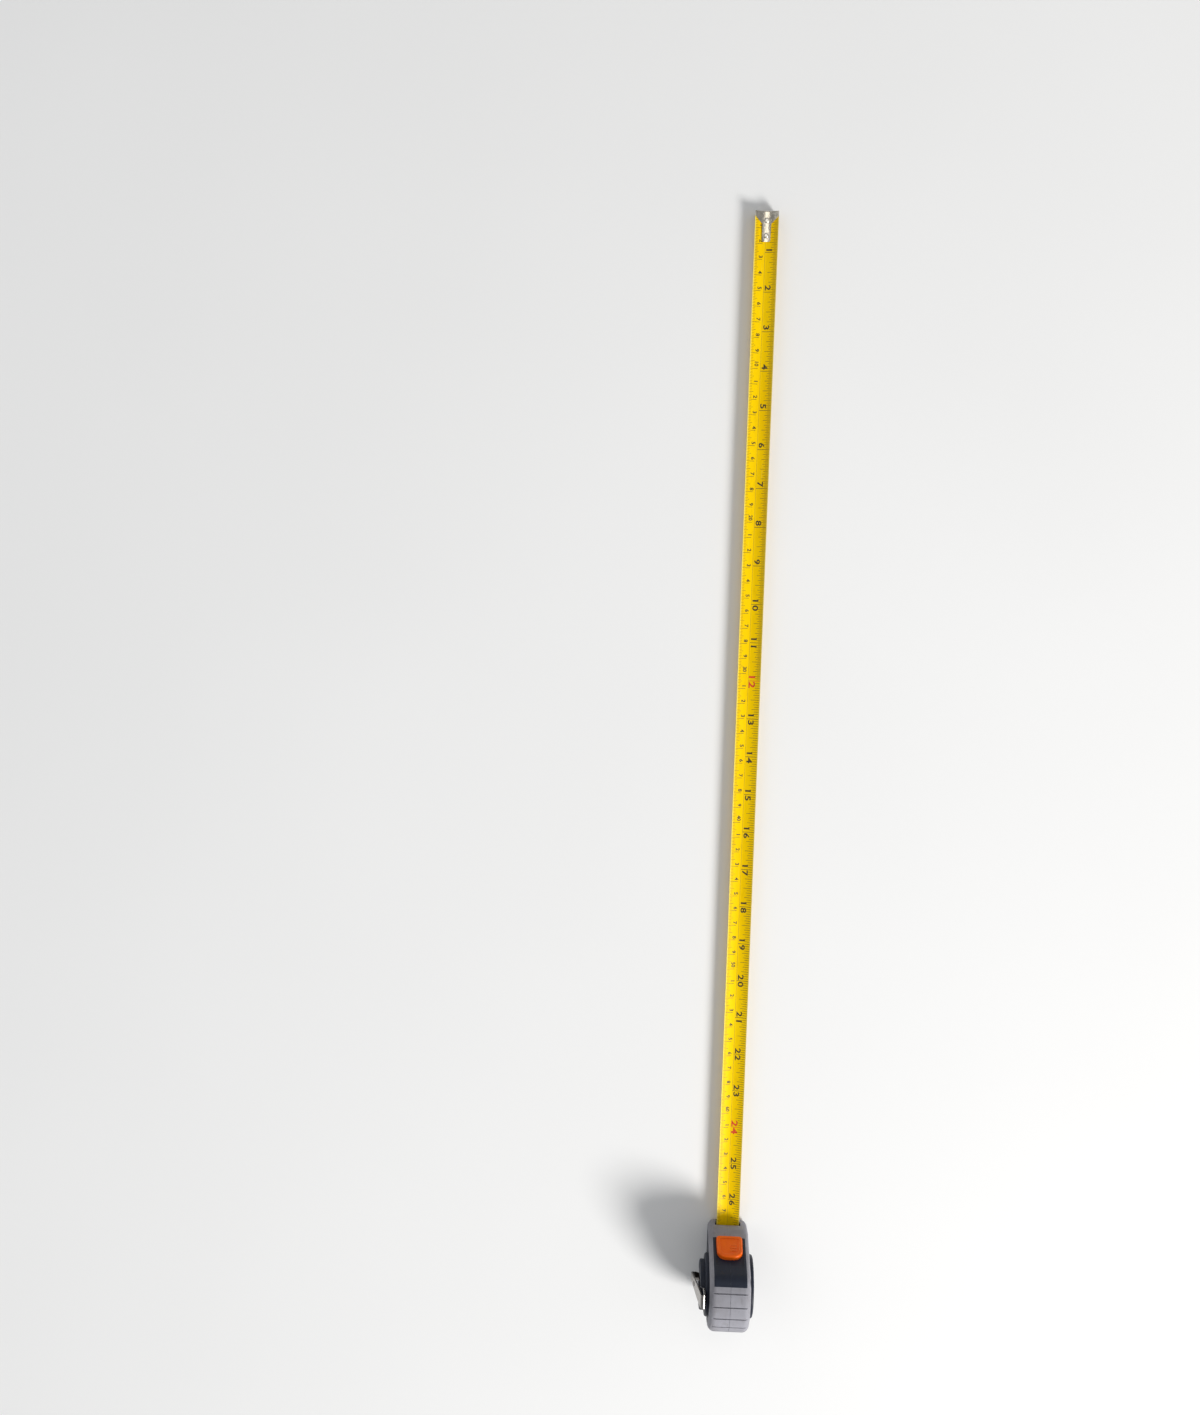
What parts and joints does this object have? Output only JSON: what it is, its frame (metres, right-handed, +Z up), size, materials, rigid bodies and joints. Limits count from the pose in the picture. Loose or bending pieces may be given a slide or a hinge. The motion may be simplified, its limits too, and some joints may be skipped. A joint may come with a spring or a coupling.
{
  "type": "tape measure",
  "caption": "Pocket tape measure with a rubber-gripped case, lock button, belt clip and a long stretch of yellow blade drawn out and locked.",
  "frame": {"origin": "on the flat base of the case, on its parting plane, 1.2 mm in front of the reel's axis", "axes": "+X the way the blade is drawn out, +Y the belt clip's side, +Z up"},
  "size_m": [0.7393, 0.0401, 0.059],
  "materials": {
    "case_abs": "fine spark texture",
    "grip_rubber": "soft matt overmould",
    "label_film": "satin film, blank",
    "screw_steel": "zinc plated",
    "clip_steel": "nickel plated, satin",
    "natural_plastic": "moulded",
    "reel_plastic": "moulded",
    "spring_steel": "blued",
    "liner_film": "smooth",
    "blade_lacquer": "gloss lacquer",
    "hook_steel": "nickel plated",
    "rivet_steel": "plain",
    "bumper_rubber": "matt",
    "button_plastic": "satin",
    "brake_plastic": "moulded"
  },
  "bodies": {
    "case": {"case_left": "case_abs", "case_right": "case_abs", "grip_left": "grip_rubber", "grip_right": "grip_rubber", "side_label": "label_film", "case_screws": "screw_steel", "belt_clip": "clip_steel", "belt_clip_screw": "screw_steel", "arbor": "natural_plastic", "reel_liner_left": "liner_film", "reel_liner_right": "liner_film", "mouth_bumper": "bumper_rubber", "blade": "blade_lacquer"},
    "blade_tip": {"blade_end": "blade_lacquer", "hook_rivets": "rivet_steel"},
    "hook": {"end_hook": "hook_steel"},
    "reel": {"reel_drum": "reel_plastic", "reel_cover": "reel_plastic", "return_spring": "spring_steel", "blade_coil": "blade_lacquer"},
    "lock": {"lock_button": "button_plastic", "lock_brake": "brake_plastic"}
  },
  "joints": [
    {"name": "blade_slide", "type": "slide", "parent": "case", "child": "blade_tip", "axis": [1, 0, 0], "range_m": [-0.6757, 0], "stiffness_N_per_m": 3, "springref_m": -1.3, "deforming": ["blade"]},
    {"name": "hook_play", "type": "slide", "parent": "blade_tip", "child": "hook", "axis": [1, 0, 0], "range_m": [-0.0008, 0]},
    {"name": "reel_spin", "type": "hinge", "parent": "case", "child": "reel", "pos_m": [-0.0012, 0, 0.0302], "axis": [0, 1, 0], "range_deg": [0, 1990.45], "deforming": ["return_spring"]},
    {"name": "lock_slide", "type": "slide", "parent": "case", "child": "lock", "axis": [-0.3969, 0, 0.9179], "range_m": [0, 0.005]}
  ],
  "couplings": [
    {"joint": "reel_spin", "follows": "blade_slide", "rad_per_m": -51.388}
  ]
}
